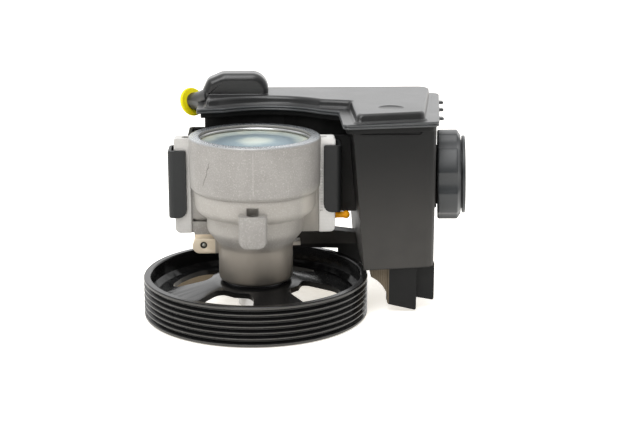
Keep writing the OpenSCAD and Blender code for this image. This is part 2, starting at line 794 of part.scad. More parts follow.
module pulley_bolts() {
  head_z = hub_face_z - web_t - 3.5;
  color(ZINC) {
    hub_bolt_holes(hub_bolt_d, head_z + cut, hub_face_z + hub_t - head_z - cut);
    difference() {
      for (i = [0:hub_bolt_n - 1])
        rotate([0, 0, 360 * i / hub_bolt_n + 30]) translate([hub_pcd / 2, 0, head_z])
          cylinder(d = hub_bolt_d * 1.78, h = 3.5, $fn = 6);
      hub_bolt_holes(hub_bolt_d * 0.8, head_z - cut, cut + 0.6);
    }
  }
}

module valve_spool() {
  r = valve_d / 2 - run;
  color(STEEL) translate([0, valve_y, valve_z]) along_x(spool_x) difference() {
    cylinder(r = r, h = spool_l);
    for (z = [6, 13]) ring(r - 1.8, r + cut, z, z + 4);
    translate([0, 0, spool_l - spool_pocket]) cylinder(r = r - 2.6, h = spool_pocket + cut);
  }
}

// Coil swept round its axis, with a round wire
module valve_spring() {
  wire = 1.4;
  turns = 6;
  steps = 14;
  sides = 8;
  coil_r = valve_d / 2 - 3.9;
  floor_z = -spool_pocket + wire / 2;
  len_z = valve_spring_l + spool_pocket - wire;
  n = turns * steps;
  pts = [for (i = [0:n]) for (k = [0:sides - 1])
    let (a = 360 * i / steps, b = 360 * k / sides, r = coil_r + wire / 2 * cos(b))
    [r * cos(a), r * sin(a), floor_z + len_z * i / n + wire / 2 * sin(b)]];
  color(ZINC) translate([0, valve_y, valve_z]) along_x(valve_spring_x) polyhedron(
    points = pts,
    faces = concat(
      [[for (k = [0:sides - 1]) k]],
      [[for (k = [sides - 1:-1:0]) n * sides + k]],
      [for (i = [0:n - 1]) for (k = [0:sides - 1])
        [i * sides + k, (i + 1) * sides + k, (i + 1) * sides + (k + 1) % sides, i * sides + (k + 1) % sides]]
    )
  );
}

module valve_plug() {
  color(ZINC) translate([0, valve_y, valve_z]) {
    along_x(plug_x) cylinder(d = valve_d, h = plug_l);
    along_x(valve_half) cylinder(d = valve_d + 3, h = 4.4, $fn = 6);
  }
}

// Sheet channel that holds a wing and a rail together
module clamp_clip(side, z) {
  leaf_x = clip_reach - clip_leaf;
  y0 = wing_front_y - clip_t;
  y1 = rail_back_y + clip_t;
  bend = 3.2;
  in_x = clip_reach - clip_t;
  in_bend = bend - clip_t;
  outer = [[leaf_x, y0], [clip_reach, y0], [clip_reach, y1], [leaf_x, y1]];
  inner = [
    [leaf_x - cut, wing_front_y], [in_x, wing_front_y], [in_x, rail_back_y], [leaf_x - cut, rail_back_y]
  ];
  front = [[leaf_x, z], [clip_reach, z], [clip_reach, z + clip_h], [leaf_x, z + clip_h]];
  mirror([side < 0 ? 1 : 0, 0, 0]) color(BLACK) intersection() {
    translate([0, 0, z]) linear_extrude(clip_h) difference() {
      polygon(rounded(outer, [0, bend, bend, 0], 5));
      polygon(rounded(inner, [0, in_bend, in_bend, 0], 5));
    }
    slab(rounded(front, [5, 1.2, 1.2, 1.2]), y0 - cut, y1 + cut);
  }
}

module clamp_clip_left() {
  clamp_clip(-1, clip_left_z);
}

module clamp_clip_right() {
  clamp_clip(1, clip_right_z);
}

module clip_lock_pin() {
  end = lock_pin_in + lock_pin_l;
  r = lock_pin_d / 2;
  color(ORANGE) translate([0, mount_y, lock_pin_z]) along_x(wing_reach - lock_pin_in) rotate_extrude()
    polygon(concat([[0, 0.1], [r - 0.3, 0.1], [r, 0.4], [r, lock_pin_in + 0.3], [r - 0.3, lock_pin_in + 1.2],
      [r - 0.3, end - 4]], arc([0, end - r - 0.2], r + 0.2, 0, 90, 6)));
}

// Rails that stand behind the wings and carry the tank
module tank_rails() {
  z0 = clip_left_z - 1.5;
  z1 = wing_top_z - 2;
  inner_x = wing_reach - wing_bar_w + 0.2;
  neck_x = clip_reach - clip_leaf - loose;
  arm_lap = 1;
  web_y = rail_back_y + clip_t + loose;
  for (side = [-1, 1]) mirror([side < 0 ? 1 : 0, 0, 0])
    slab([[inner_x, z0], [wing_reach, z0], [wing_reach, z1], [inner_x, z1]], wing_back_y, rail_back_y);
  // The right rail's neck leads to a web on the tank's wall, the left rail's neck to the arm
  translate([inner_x, rail_back_y - 0.5, z0]) cube([neck_x - inner_x, web_y + 1 - rail_back_y, z1 - z0]);
  slab([[inner_x, z0], [tank_left(z0) + 1, z0], [tank_left(z1) + 1, z1], [inner_x, z1]], web_y, web_y + rail_t - 2);
  translate([-neck_x, rail_back_y - 0.5, arm_z]) cube([neck_x - inner_x, 32, z1 - arm_z]);
  translate([-inner_x - 1, 52, arm_z]) cube([inner_x + 1 + arm_left_x + arm_lap, 4, z1 - arm_z]);
}

// Feet, gusset and the low arm under the tank
module tank_legs() {
  low_arm_z = pulley_w + 1.2;
  low_arm_y = 47;
  low_arm_x = 53;
  slab(rounded([[80, 4.8], [97.6, 0.6], [97.6, tank_z + 1], [80, tank_z + 1]], [1, 1, 0, 0]), -7, 2);
  slab(rounded([[97, 7.6], [109, 5.4], [109, tank_z + 1], [97, tank_z + 1]], [0.8, 1, 0, 0]), -2, 4);
  slab(concat([[81, tank_z + 1], [68.5, tank_z + 1]], arc([62, 5], 18.6, 65, 8, 8), [[81, 7.6]]), -6, 0);
  slab([[22, low_arm_z + 1], [low_arm_x, low_arm_z], [low_arm_x, low_arm_z - 13], [70, low_arm_z - 13],
    [70, 34.6], [52, 36.9], [22, 36.2]], low_arm_y, low_arm_y + 4);
  slab([[22, 33], [69, 31.6], [69, 34.6], [52, 36.9], [22, 36.2]], low_arm_y, low_arm_y + 11);
}

// Place of the tank's left wall at a height: it slopes in towards the floor
function tank_left(z) =
  tank_left_base + (tank_left_top - tank_left_base) * (z - tank_z) / (split_z - tank_z);

// Main box of the tank, moved inwards by d
module tank_box(d) {
  over = d > 0 ? cut : 0;
  z0 = tank_z - 10;
  z1 = split_z + 10;
  far_x = tank_plan[2].x + 10;
  intersection() {
    translate([0, 0, tank_z + d]) linear_extrude(split_z - tank_z - d + over)
      polygon(rounded(inset(tank_plan, d), [for (r = tank_radii) r - d / 2]));
    slab([[tank_left(z0) + d, z0], [far_x, z0], [far_x, z1], [tank_left(z1) + d, z1]], -40, 120);
  }
}

module tank_arm(d) {
  over = d > 0 ? cut : 0;
  translate([0, 0, arm_z + d]) linear_extrude(split_z - arm_z - d + over)
    polygon(rounded(inset(arm_outer, d), arm_radii));
}

// Room for the return stub in the tank's rim
module stub_relief() {
  at_stub() cylinder(d = stub_d + 2 * loose, h = stub_l);
}

// Room for the return cap's flange at the edge of the joint
module return_relief() {
  at_stub() translate([0, 0, stub_l - loose]) cylinder(d = return_cap_d + 4 * loose, h = 12);
}

module reservoir_tank() {
  weld_t = 3;
  weld_set = 2.4;
  color(PLASTIC) difference() {
    union() {
      tank_box(0);
      tank_arm(0);
      tank_rails();
      tank_legs();
      translate([0, 0, split_z - weld_t]) linear_extrude(weld_t)
        polygon(rounded(inset(flange_line, weld_set), lid_radii));
      along_y(0, suction_face_y - 3, suction_z) cylinder(d = suction_d, h = 16);
      along_y(0, suction_face_y + 0.3, suction_z) cylinder(d = suction_boss_d, h = 12);
    }
    tank_box(wall);
    tank_arm(wall);
    stub_relief();
    return_relief();
    at_cap() translate([0, 0, -12]) cylinder(d = collar_d + 2 * run, h = 12 + neck_l);
    along_y(0, suction_face_y - 4, suction_z) cylinder(d = suction_d - 5, h = 30);
    along_y(0, suction_face_y - 2.2, suction_z) ring(suction_d / 2 - 1.3, suction_d, 0, 1.9);
  }
}

// Filler neck with a collar outside and a spigot inside the tank's wall
module filler_neck() {
  spigot = 3.4;
  color(PLASTIC) at_cap() difference() {
    union() {
      translate([0, 0, -spigot]) cylinder(d = collar_d, h = spigot + collar_l);
      cylinder(d = neck_d, h = neck_l);
    }
    translate([0, 0, -spigot - cut]) cylinder(d = neck_d - 2 * neck_wall, h = spigot + neck_l + 2 * cut);
  }
}

module lid_hump(d) {
  x0 = hump_x + d;
  x1 = hump_x + hump_l - d;
  low = lid_top_z - wall - d;
  top = lid_top_z + hump_h - d;
  r = hump_h - 1;
  edge_r = 4.5 - d;
  end = [[hump_y + d, low], [hump_y + hump_w - d, low], [hump_y + hump_w - d, top], [hump_y + d, top]];
  intersection() {
    slab(concat([[x0 + 1, low], [x0, lid_top_z + 2], [x0 + 1, lid_top_z + hump_h * 0.5], [x0 + 9, top - 1.2],
      [x0 + 14, top]], arc([x1 - r, top - r], r, 90, 0, 6), [[x1, low]]), hump_y + d, hump_y + hump_w - d);
    translate([x0 - cut, 0, 0]) rotate([90, 0, 90]) linear_extrude(hump_l + 2 * cut)
      polygon(rounded(end, [0, 0, edge_r, edge_r]));
  }
}

// One level of the lid
module lid_layer(line, z0, z1) {
  translate([0, 0, z0]) linear_extrude(z1 - z0) polygon(rounded(line, lid_radii));
}

module reservoir_lid() {
  color(PLASTIC) difference() {
    union() {
      difference() {
        union() {
          lid_layer(flange_line, split_z, split_z + lid_flange_t);
          lid_layer(inset(plateau_line, -lid_ledge_w), split_z, split_z + lid_ledge_h);
          lid_layer(plateau_line, split_z, lid_top_z);
        }
        lid_layer(inset(plateau_line, wall), split_z - cut, lid_top_z - wall);
        return_relief();
      }
      lid_hump(0);
      intersection() {
        at_stub() translate([0, 0, -6]) cylinder(d = stub_d, h = stub_l + 6);
        translate([-80, 0, split_z]) cube([80 + hump_x + 3, 120, 40]);
      }
      at_stub() translate([0, 0, stub_d / 2]) cylinder(d = stub_d, h = stub_l - stub_d / 2);
      for (y = [8, 38, 64])
        translate([lid_tab_x(y), y, split_z + 0.6]) cube([4.4, 5, lid_flange_t - 1.2]);
    }
    lid_hump(wall);
    at_stub() translate([0, 0, -8]) cylinder(d = stub_bore_d, h = stub_l + 8 + cut, $fn = 48);
    translate([82, 9, lid_top_z - 0.8]) cylinder(d = dimple_d, h = 2);
  }
}

// Place of a snap tab on the right edge of the lid's flange
function lid_tab_x(y) =
  let (p = lid_flange_front[1], q = lid_flange_front[2])
  p.x + (q.x - p.x) * (y - p.y) / (q.y - p.y) - 1.6;

module suction_o_ring() {
  color(RUBBER) along_y(0, suction_face_y - 2.2, suction_z) torus(suction_d / 2 - 0.45, 1.6, 0.95);
}

module suction_strainer() {
  r = suction_d / 2 - 2.5 - 0.1;
  l = 14;
  y = suction_face_y + 6;
  color(BRONZE) difference() {
    along_y(0, y, suction_z) cylinder(r = r, h = l);
    along_y(0, y - cut, suction_z) cylinder(r = r - 1, h = l);
    for (a = [0:60:300]) along_y(0, y + 7.5, suction_z) rotate([0, 0, a])
      translate([-1.6, 0, 0]) cube([3.2, r + cut, 4.5]);
  }
}

module filler_cap() {
  z0 = collar_l + 0.6;
  z1 = z0 + cap_t;
  r = cap_d / 2;
  inner_r = neck_d / 2 + thread_gap;
  color(PLASTIC) at_cap() difference() {
    union() {
      rotate_extrude() polygon([
        [0, z0], [r - 1.2, z0], [r, z0 + 1.2], [r, z1 - 3], [r - 2.2, z1], [0, z1]
      ]);
      translate([0, 0, z1 - cut]) cylinder(d = cap_disc_d, h = cap_disc_t + cut);
    }
    translate([0, 0, z0 - cut]) cylinder(r = inner_r, h = neck_l - z0 + seal_t + run + cut);
    for (i = [0:lobe_n - 1]) rotate([0, 0, 360 * i / lobe_n + 90])
      translate([r + lobe_cut_r - lobe_cut_h, 0, z0 - cut]) cylinder(r = lobe_cut_r, h = cap_t + 2 * cut);
  }
}

module cap_seal() {
  color(RUBBER) at_cap() ring(neck_d / 2 - neck_wall, neck_d / 2, neck_l, neck_l + seal_t);
}

module dipstick() {
  root = neck_l + seal_t + run;
  color(ORANGE) at_cap() translate([-2.5, -1, root - dipstick_l]) cube([5, 2, dipstick_l]);
}

module return_cap() {
  color(YELLOW) at_stub() rotate_extrude() polygon([
    [0, stub_l - 6], [stub_bore_d / 2 - run, stub_l - 6], [stub_bore_d / 2 - run, stub_l],
    [return_cap_d / 2 - 0.6, stub_l], [return_cap_d / 2, stub_l + 0.6], [return_cap_d / 2, stub_l + 1.8],
    [return_cap_d / 2 - 0.6, stub_l + 2.4], [4, stub_l + 2.4], [3.6, stub_l + 6], [0, stub_l + 6]
  ]);
}

pump_housing();
end_cover();
cover_retaining_ring();
cover_o_ring();
disc_spring();
pressure_plate();
cam_ring();
thrust_plate();
dowel_pins();
rotor();
rotor_circlip();
vane(0);  // vane_1
vane(1);  // vane_2
vane(2);  // vane_3
vane(3);  // vane_4
vane(4);  // vane_5
vane(5);  // vane_6
vane(6);  // vane_7
vane(7);  // vane_8
vane(8);  // vane_9
vane(9);  // vane_10
drive_shaft();
plain_bush();
shaft_seal();
bearing_outer_race();
bearing_inner_race();
bearing_balls();
bearing_cage();
bearing_circlip();
pulley_hub();
pulley();
pulley_bolts();
valve_spool();
valve_spring();
valve_plug();
clamp_clip_left();
clamp_clip_right();
clip_lock_pin();
reservoir_tank();
filler_neck();
reservoir_lid();
suction_o_ring();
suction_strainer();
filler_cap();
cap_seal();
dipstick();
return_cap();
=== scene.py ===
import json
import math

import bmesh
import bpy
import numpy as np
from mathutils import Euler, Matrix, Vector


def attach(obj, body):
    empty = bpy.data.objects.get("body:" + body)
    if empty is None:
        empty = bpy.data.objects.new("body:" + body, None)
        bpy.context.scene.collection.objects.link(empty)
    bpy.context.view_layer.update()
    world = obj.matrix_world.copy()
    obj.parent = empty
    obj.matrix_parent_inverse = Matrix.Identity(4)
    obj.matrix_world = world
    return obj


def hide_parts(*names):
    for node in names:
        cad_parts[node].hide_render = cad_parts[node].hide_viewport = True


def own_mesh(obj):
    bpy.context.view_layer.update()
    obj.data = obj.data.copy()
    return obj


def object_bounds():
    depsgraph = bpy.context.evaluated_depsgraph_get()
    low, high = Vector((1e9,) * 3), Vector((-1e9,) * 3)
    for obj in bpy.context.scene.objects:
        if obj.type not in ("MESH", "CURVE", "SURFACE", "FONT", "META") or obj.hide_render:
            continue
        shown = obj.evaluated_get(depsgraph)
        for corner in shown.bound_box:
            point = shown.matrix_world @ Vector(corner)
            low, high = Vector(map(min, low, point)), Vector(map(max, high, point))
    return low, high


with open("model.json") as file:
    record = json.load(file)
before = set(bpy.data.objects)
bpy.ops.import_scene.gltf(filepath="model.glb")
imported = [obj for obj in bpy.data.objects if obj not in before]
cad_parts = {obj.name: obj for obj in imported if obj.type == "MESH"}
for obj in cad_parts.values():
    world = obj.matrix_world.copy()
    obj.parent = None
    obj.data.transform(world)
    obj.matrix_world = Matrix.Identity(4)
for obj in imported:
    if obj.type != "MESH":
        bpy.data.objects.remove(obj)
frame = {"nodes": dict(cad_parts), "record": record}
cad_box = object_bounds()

MM = 0.001
BODY_OF = {node: body for body, nodes in frame["record"]["behaviour"]["bodies"].items() for node in nodes}


# Places that shapes and finishes share, in millimetres in the part's frame

def aimed(at, yaw, tilt):
    """A frame at a place, its upright axis tilted over towards the yaw, both in degrees."""
    turn = Matrix.Rotation(math.radians(yaw), 4, "Z") @ Matrix.Rotation(math.radians(tilt), 4, "Y")
    return Matrix.Translation(at) @ turn


AT_CAP = aimed((109.4, 34, 76.5), -7, 88.5)
AT_STUB = aimed((-30, 65, 121), 131, 108)
SPLIT, LID_TOP = 115.0, 123.5
BARREL_TOP = 108.0
COVER_R, PULLEY_R = 34.0, 68.0
LUG_HOLE = (-31.6, 5.2, 40.2)
FLANGE_CORNERS = [(51.5, -18), (109, -9.5), (122.5, 95), (-36, 95), (-36, 37)]
PLATEAU_CORNERS = [(59.3, -14.6), (100.8, -5.5), (115.5, 90), (-30, 90), (-30, 41)]


# Shader sockets and node trees

class Wire:
    """A shader socket. Its operators add Math nodes."""

    def __init__(self, nodes, socket):
        self.nodes, self.socket = nodes, socket

    def maths(self, operation, *values):
        return self.nodes.node("Math", {"operation": operation}, values)

    def __add__(self, other):
        return self.maths("ADD", self, other)

    def __sub__(self, other):
        return self.maths("SUBTRACT", self, other)

    def __rsub__(self, other):
        return self.maths("SUBTRACT", other, self)

    def __mul__(self, other):
        return self.maths("MULTIPLY", self, other)

    def __truediv__(self, other):
        return self.maths("DIVIDE", self, other)

    def __abs__(self):
        return self.maths("ABSOLUTE", self)

    __radd__ = __add__
    __rmul__ = __mul__

    def wave(self, period):
        return self.maths("SINE", self * (2 * math.pi / period)) * 0.5 + 0.5

    def ramp(self, low, high):
        """0 below low and 1 above high, with a soft step between; low may be the larger."""
        return self.nodes.node("MapRange", {"interpolation_type": "SMOOTHSTEP"}, [self, low, high])

    def between(self, start, full, fading, end):
        """1 from full to fading, and 0 before start and after end."""
        return self.ramp(start, full) * self.ramp(end, fading)


class Nodes:
    """The node tree of a material or a world, cleared."""

    def __init__(self, owner):
        owner.use_nodes = True
        self.tree = owner.node_tree
        self.tree.nodes.clear()

    def node(self, kind, settings=None, sockets=(), out=0):
        """A new node with its settings and sockets; returns one of its outputs as a Wire."""
        made = self.tree.nodes.new("ShaderNode" + kind)
        for key, value in (settings or {}).items():
            if key == "stops":
                for stop, (at, colour) in zip(self.stops(made, len(value)), value):
                    stop.position, stop.color = at, colour
            else:
                setattr(made, key, value)
        for key, value in sockets.items() if isinstance(sockets, dict) else enumerate(sockets):
            if isinstance(value, Wire):
                self.tree.links.new(value.socket, made.inputs[key])
            else:
                made.inputs[key].default_value = value
        return Wire(self, made.outputs[out]) if made.outputs else None

    def stops(self, made, count):
        elements = made.color_ramp.elements
        while len(elements) < count:
            elements.new(1)
        return elements


class Finish(Nodes):
    """A material under construction; x, y and z are the place in the part's own frame, in millimetres."""

    def __init__(self, name):
        self.material = bpy.data.materials.new(name)
        super().__init__(self.material)
        self.place = self.node("TexCoord", out="Object")
        self.x, self.y, self.z = (self.node("SeparateXYZ", {}, [self.place], out=k) / MM for k in "XYZ")

    def up(self):
        facing = self.node("TexCoord", out="Normal")
        return self.node("SeparateXYZ", {}, [facing], out="Z")

    def radius(self):
        """How far from the shaft's axis."""
        square = self.x * self.x + self.y * self.y
        return square.maths("SQRT", square)

    def noise(self, size, detail, stretch=(1, 1, 1)):
        """Noise with spots of a size in millimetres."""
        place = self.node("Mapping", {}, {"Vector": self.place, "Scale": stretch})
        sockets = {"Vector": place, "Scale": 1 / (size * MM), "Detail": detail, "Roughness": 0.55}
        return self.node("TexNoise", {}, sockets)

    def mix(self, amount, a, b):
        return self.node("Mix", {"data_type": "RGBA"}, {0: amount, 6: a, 7: b}, out=2)

    def coated(self, colour, *coats):
        """A colour under other colours, each where its mask says."""
        for mask, coat in coats:
            colour = self.mix(mask, colour, coat)
        return colour

    def surface(self, colour, rough, metal, bumps, soft=0.0, shine=0.5, **constants):
        """The finished material; bump depths and the softness of edges are in millimetres."""
        normal = self.node("Bevel", {"samples": 4}, {"Radius": soft * MM}) if soft else None
        for height, depth in bumps:
            inputs = {"Height": height, "Distance": depth * MM, "Strength": 1.0}
            if normal:
                inputs["Normal"] = normal
            normal = self.node("Bump", {}, inputs)
        sockets = {"Base Color": colour, "Roughness": rough, "Metallic": metal, "Normal": normal}
        shader = self.node("BsdfPrincipled", {}, {**sockets, "Specular IOR Level": shine, **constants})
        self.node("OutputMaterial", {}, {"Surface": shader})
        return self.material


def rgb(r, g, b):
    return (r, g, b, 1.0)


# Masks on the casting

def bowl_painted_light(look):
    """Painted light: the bowl under the bead made paler as if lit, and most of all its right side, which
    lies in shade.
    """
    bowl = look.z.between(47, 55, 74, 82) * look.radius().ramp(39, 37)
    right_side_painted_light = look.x.ramp(25, 30) * look.z.ramp(84, 76)
    return bowl * 0.28 + right_side_painted_light * 0.5


def turned_nose(look):
    return look.z.ramp(48, 40) * look.radius().ramp(30, 24.5)


def ring_face(look):
    """The machined face round the end cover."""
    return look.z.ramp(BARREL_TOP - 0.2, BARREL_TOP + 0.2) * look.up().ramp(0.4, 0.8)


def milled_wings_shaded_left(look):
    """The flanks of the wings, weaker on the left: painted shade on the left wing's milled face."""
    flanks = abs(look.x).ramp(38.4, 39.0) * look.y.ramp(3, 5) * look.z.ramp(46, 46.6)
    return flanks * (0.45 + 0.55 * look.x.ramp(-10, 10))


# Painted light: the lug's front face, coloured beige and bright for the warm light the floor throws on it.
def lug_face_painted_light(look):
    return look.z.ramp(46, 45.4) * look.x.ramp(-24.2, -25)


def lug_seat_painted_shade(look):
    """The dark ring round the hole in the lug: painted shade in its countersink."""
    x, y, z = LUG_HOLE
    off_x, off_z = look.x - x, look.z - z
    circle = (off_x * off_x + off_z * off_z).ramp(4.6, 4.2)
    return circle * look.y.between(y - 2.2, y - 1.8, y - 0.5, y - 0.3)


def front_half(look):
    return look.y.ramp(-2, -8)


def parting_line(look):
    """The seam of the mould, up the front of the barrel."""
    return abs(look.x + 1.2).ramp(0.4, 0.1) * look.z.between(79, 84, 104, 107) * front_half(look)


def slanting_scratch(look):
    """One wavering scratch on the front of the barrel."""
    waver = (look.noise(4, 2) - 0.5) * 2.2
    off = look.x + 30.3 - (look.z - 82.7) * 0.238 + waver
    return abs(off).ramp(0.34, 0.10) * look.z.between(83, 85, 97, 100) * front_half(look)


# Materials

def cast_alloy():
    look = Finish("cast_alloy")
    grain, blotch, fine = look.noise(0.8, 4), look.noise(14, 3), look.noise(0.25, 2)
    turned, milled, top, parting = turned_nose(look), milled_wings_shaded_left(look), ring_face(look), parting_line(look)
    saw = look.z.wave(0.9) * look.noise(1.2, 2)
    skin = look.coated(
        look.mix(blotch.ramp(0.3, 0.7), rgb(0.268, 0.257, 0.242), rgb(0.306, 0.294, 0.279)),
        (grain.ramp(0.48, 0.74) * 0.7, rgb(0.43, 0.415, 0.395)),
        (fine.ramp(0.45, 0.28) * 0.55, rgb(0.15, 0.14, 0.13)),
        # painted light: the bowl and the shaded stretch right of the barrel made paler
        (bowl_painted_light(look), rgb(0.52, 0.49, 0.44)),
        (turned, rgb(0.330, 0.300, 0.262)),
        # milled metal, with painted shade making the left wing's face darker than the right
        (milled, look.mix(saw, rgb(0.74, 0.73, 0.71), rgb(0.90, 0.89, 0.87))),
        (top, rgb(0.40, 0.42, 0.44)),
        # painted light: the warm, bright front face of the lug
        (lug_face_painted_light(look), rgb(0.74, 0.64, 0.50)),
        # painted shade in the countersink round the lug's hole
        (lug_seat_painted_shade(look), rgb(0.020, 0.016, 0.012)),
        (parting * 0.28, rgb(0.50, 0.48, 0.46)),
        (slanting_scratch(look) * 0.8, rgb(0.13, 0.12, 0.11)))
    rough = 0.50 + grain * 0.14 - turned * 0.16 - top * 0.30 - milled * 0.14
    metal = 0.30 + top * 0.65 + turned * 0.45 - milled * 0.10
    rings = look.radius().wave(0.5) * top + look.z.wave(0.36) * turned + saw * milled
    sand = (grain * 0.7 + fine * 0.3) * (1 - top) * (1 - turned) * (1 - milled * 0.8)
    return look.surface(skin, rough, metal, [(sand, 0.22), (rings, 0.014), (parting, 0.05)], soft=1.2)


def zinc_cover():
    """Passivated zinc: rings of tint from the middle to the edge, blurred by cloud."""
    look = Finish("zinc_cover")
    cloud, streak = look.noise(9, 3), look.noise(2.5, 2, stretch=(1, 6, 1))
    blurred = look.radius() + (cloud - 0.5) * 9
    tint = look.node("ValToRGB", {"stops": [
        (0.00, rgb(0.76, 0.80, 0.73)), (0.20, rgb(0.66, 0.73, 0.68)), (0.40, rgb(0.33, 0.42, 0.46)),
        (0.66, rgb(0.23, 0.30, 0.35)), (0.84, rgb(0.42, 0.47, 0.44)), (1.00, rgb(0.60, 0.60, 0.50))]},
        [blurred / COVER_R])
    tint = look.mix(streak.ramp(0.55, 0.8) * 0.25, tint, rgb(0.78, 0.78, 0.74))
    rings = look.radius().wave(0.35)
    return look.surface(tint, 0.38 + cloud * 0.12, 1.0, [(streak, 0.006), (rings, 0.030)], soft=0.3)


def zinc_plate():
    look = Finish("zinc_plate")
    cloud, grit = look.noise(5, 3), look.noise(0.5, 2)
    tint = look.mix(cloud, rgb(0.60, 0.60, 0.50), rgb(0.66, 0.69, 0.70))
    return look.surface(tint, 0.26 + grit * 0.14, 1.0, [(grit, 0.01)], soft=0.25)


def ground_steel():
    look = Finish("ground_steel")
    cloud, grit = look.noise(8, 2), look.noise(0.4, 2)
    tint = look.mix(cloud, rgb(0.52, 0.52, 0.525), rgb(0.64, 0.64, 0.645))
    lines = look.radius().wave(0.3)
    return look.surface(tint, 0.22 + grit * 0.16, 1.0, [(lines, 0.004)], soft=0.25)


def gloss_black():
    """The pulley's paint, worn and with a painted highlight on the crests of its ribs, and a painted
    reflection of the floor's warm light inside its rim.
    """
    look = Finish("gloss_black")
    peel, dust = look.noise(1.6, 2), look.noise(0.35, 3)
    r = look.radius()
    crest = r.ramp(PULLEY_R - 0.30, PULLEY_R - 0.05)
    rim_painted_reflection = r.between(59, 60.5, 64.0, 64.4) * look.z.ramp(9.0, 7.5)
    colour = look.coated(
        rgb(0.006, 0.006, 0.0062),
        # the crests of the ribs: worn paint, and a painted highlight
        (crest * (0.4 + 0.6 * dust), rgb(0.085, 0.082, 0.076)),
        # inside the rim: a painted reflection of the floor's warm light
        (rim_painted_reflection, rgb(0.27, 0.22, 0.155)))
    rough = 0.18 + dust.ramp(0.55, 0.8) * 0.10 + crest * 0.14 + rim_painted_reflection * 0.3
    return look.surface(colour, rough, 0.0, [(peel, 0.006)], soft=0.3, shine=0.24)


def clip_black():
    look = Finish("clip_black")
    grit, wear = look.noise(0.5, 3), look.noise(3, 3)
    colour = look.mix(wear.ramp(0.6, 0.8) * 0.5, rgb(0.012, 0.013, 0.0135), rgb(0.024, 0.025, 0.026))
    return look.surface(colour, 0.40 + grit * 0.14, 0.0, [(grit, 0.02)], soft=0.5, shine=0.36)


def tan_foot(look):
    """The underside of the tank's front foot."""
    return look.z.ramp(28, 27) * look.x.between(66, 68, 80.2, 81.2) * look.y.ramp(4, 2)


def moulded_black(name, shine, matt, high_up, low_down_painted_floor_light):
    """Black plastic, from its colour high up to a lighter colour near the tank's floor, which is painted
    light from the floor, with a painted highlight along the band of the flange's beads.
    """
    look = Finish(name)
    grain, flow, ribbing = look.noise(0.55, 3), look.noise(22, 3), look.x.wave(1.1)
    foot, flange_painted_highlight = tan_foot(look), look.z.between(SPLIT + 0.1, SPLIT + 0.5, SPLIT + 2.8, SPLIT + 3.2)
    colour = look.coated(
        high_up,
        # painted light: lighter towards the bottom, for the floor's light
        (look.z.between(27.6, 29, 30, 112), low_down_painted_floor_light),
        (flow.ramp(0.35, 0.75) * 0.25, rgb(0.020, 0.020, 0.0195)),
        # painted highlight along the flange's two beads
        (flange_painted_highlight, rgb(0.052, 0.055, 0.057)),
        (foot, look.mix(ribbing, rgb(0.115, 0.092, 0.064), rgb(0.165, 0.135, 0.098))))
    rough = matt + flow * 0.08 + grain * 0.08 + foot * 0.3
    return look.surface(colour, rough, 0.0, [(grain, 0.012), (ribbing * foot, 0.05)], soft=0.9, shine=shine)


def cap_plastic():
    look = Finish("cap_plastic")
    grain, flow = look.noise(0.5, 3), look.noise(12, 3)
    colour = look.mix(flow, rgb(0.022, 0.0245, 0.0265), rgb(0.030, 0.0325, 0.0345))
    return look.surface(colour, 0.30 + grain * 0.12, 0.0, [(grain, 0.02)], soft=0.4, shine=0.45)


def bright_plastic(name, dull, bright):
    look = Finish(name)
    flow, grain = look.noise(6, 2), look.noise(0.5, 2)
    depth = {"Subsurface Weight": 0.15, "Subsurface Radius": (0.002, 0.001, 0.0005)}
    colour = look.mix(flow, dull, bright)
    return look.surface(colour, 0.42 + grain * 0.12, 0.0, [(grain, 0.008)], soft=0.3, shine=0.25, **depth)


def seal_rubber():
    look = Finish("seal_rubber")
    grain = look.noise(0.6, 2)
    colour = look.mix(grain, rgb(0.012, 0.012, 0.012), rgb(0.024, 0.024, 0.023))
    return look.surface(colour, 0.55 + grain * 0.2, 0.0, [(grain, 0.02)])


def sintered_bronze():
    look = Finish("sintered_bronze")
    grain = look.noise(0.4, 3)
    colour = look.mix(grain, rgb(0.42, 0.28, 0.12), rgb(0.60, 0.44, 0.22))
    return look.surface(colour, 0.34 + grain * 0.2, 1.0, [(grain, 0.012)])


ALLOY, COVER, ZINC, STEEL = cast_alloy(), zinc_cover(), zinc_plate(), ground_steel()
GLOSS, CLIP, CAP = gloss_black(), clip_black(), cap_plastic()
LID = moulded_black("lid_black", 0.5, 0.24, rgb(0.015, 0.0152, 0.0155), rgb(0.015, 0.0152, 0.0155))
# the tank's lower walls lighter: painted light from the floor
TANK = moulded_black("tank_black", 0.20, 0.48, rgb(0.0060, 0.0061, 0.0062), rgb(0.047, 0.0447, 0.0415))
ORANGE = bright_plastic("orange_plastic", rgb(0.98, 0.37, 0.001), rgb(1.0, 0.43, 0.002))
YELLOW = bright_plastic("yellow_plastic", rgb(0.72, 0.62, 0.003), rgb(0.78, 0.69, 0.006))
RUBBER, BRONZE = seal_rubber(), sintered_bronze()


# Shapes: points in millimetres with their faces

def arc(centre, r, first, last, n):
    turn = np.radians(np.linspace(first, last, n + 1))
    return np.asarray(centre, float) + r * np.column_stack([np.cos(turn), np.sin(turn)])


def rounding(r, n):
    """How far in, and how far short of the end, a quarter round lies at each step from wall to end."""
    turn = np.radians(np.linspace(0, 90, n + 1))
    return list(zip(r * (1 - np.cos(turn)), r * (1 - np.sin(turn))))


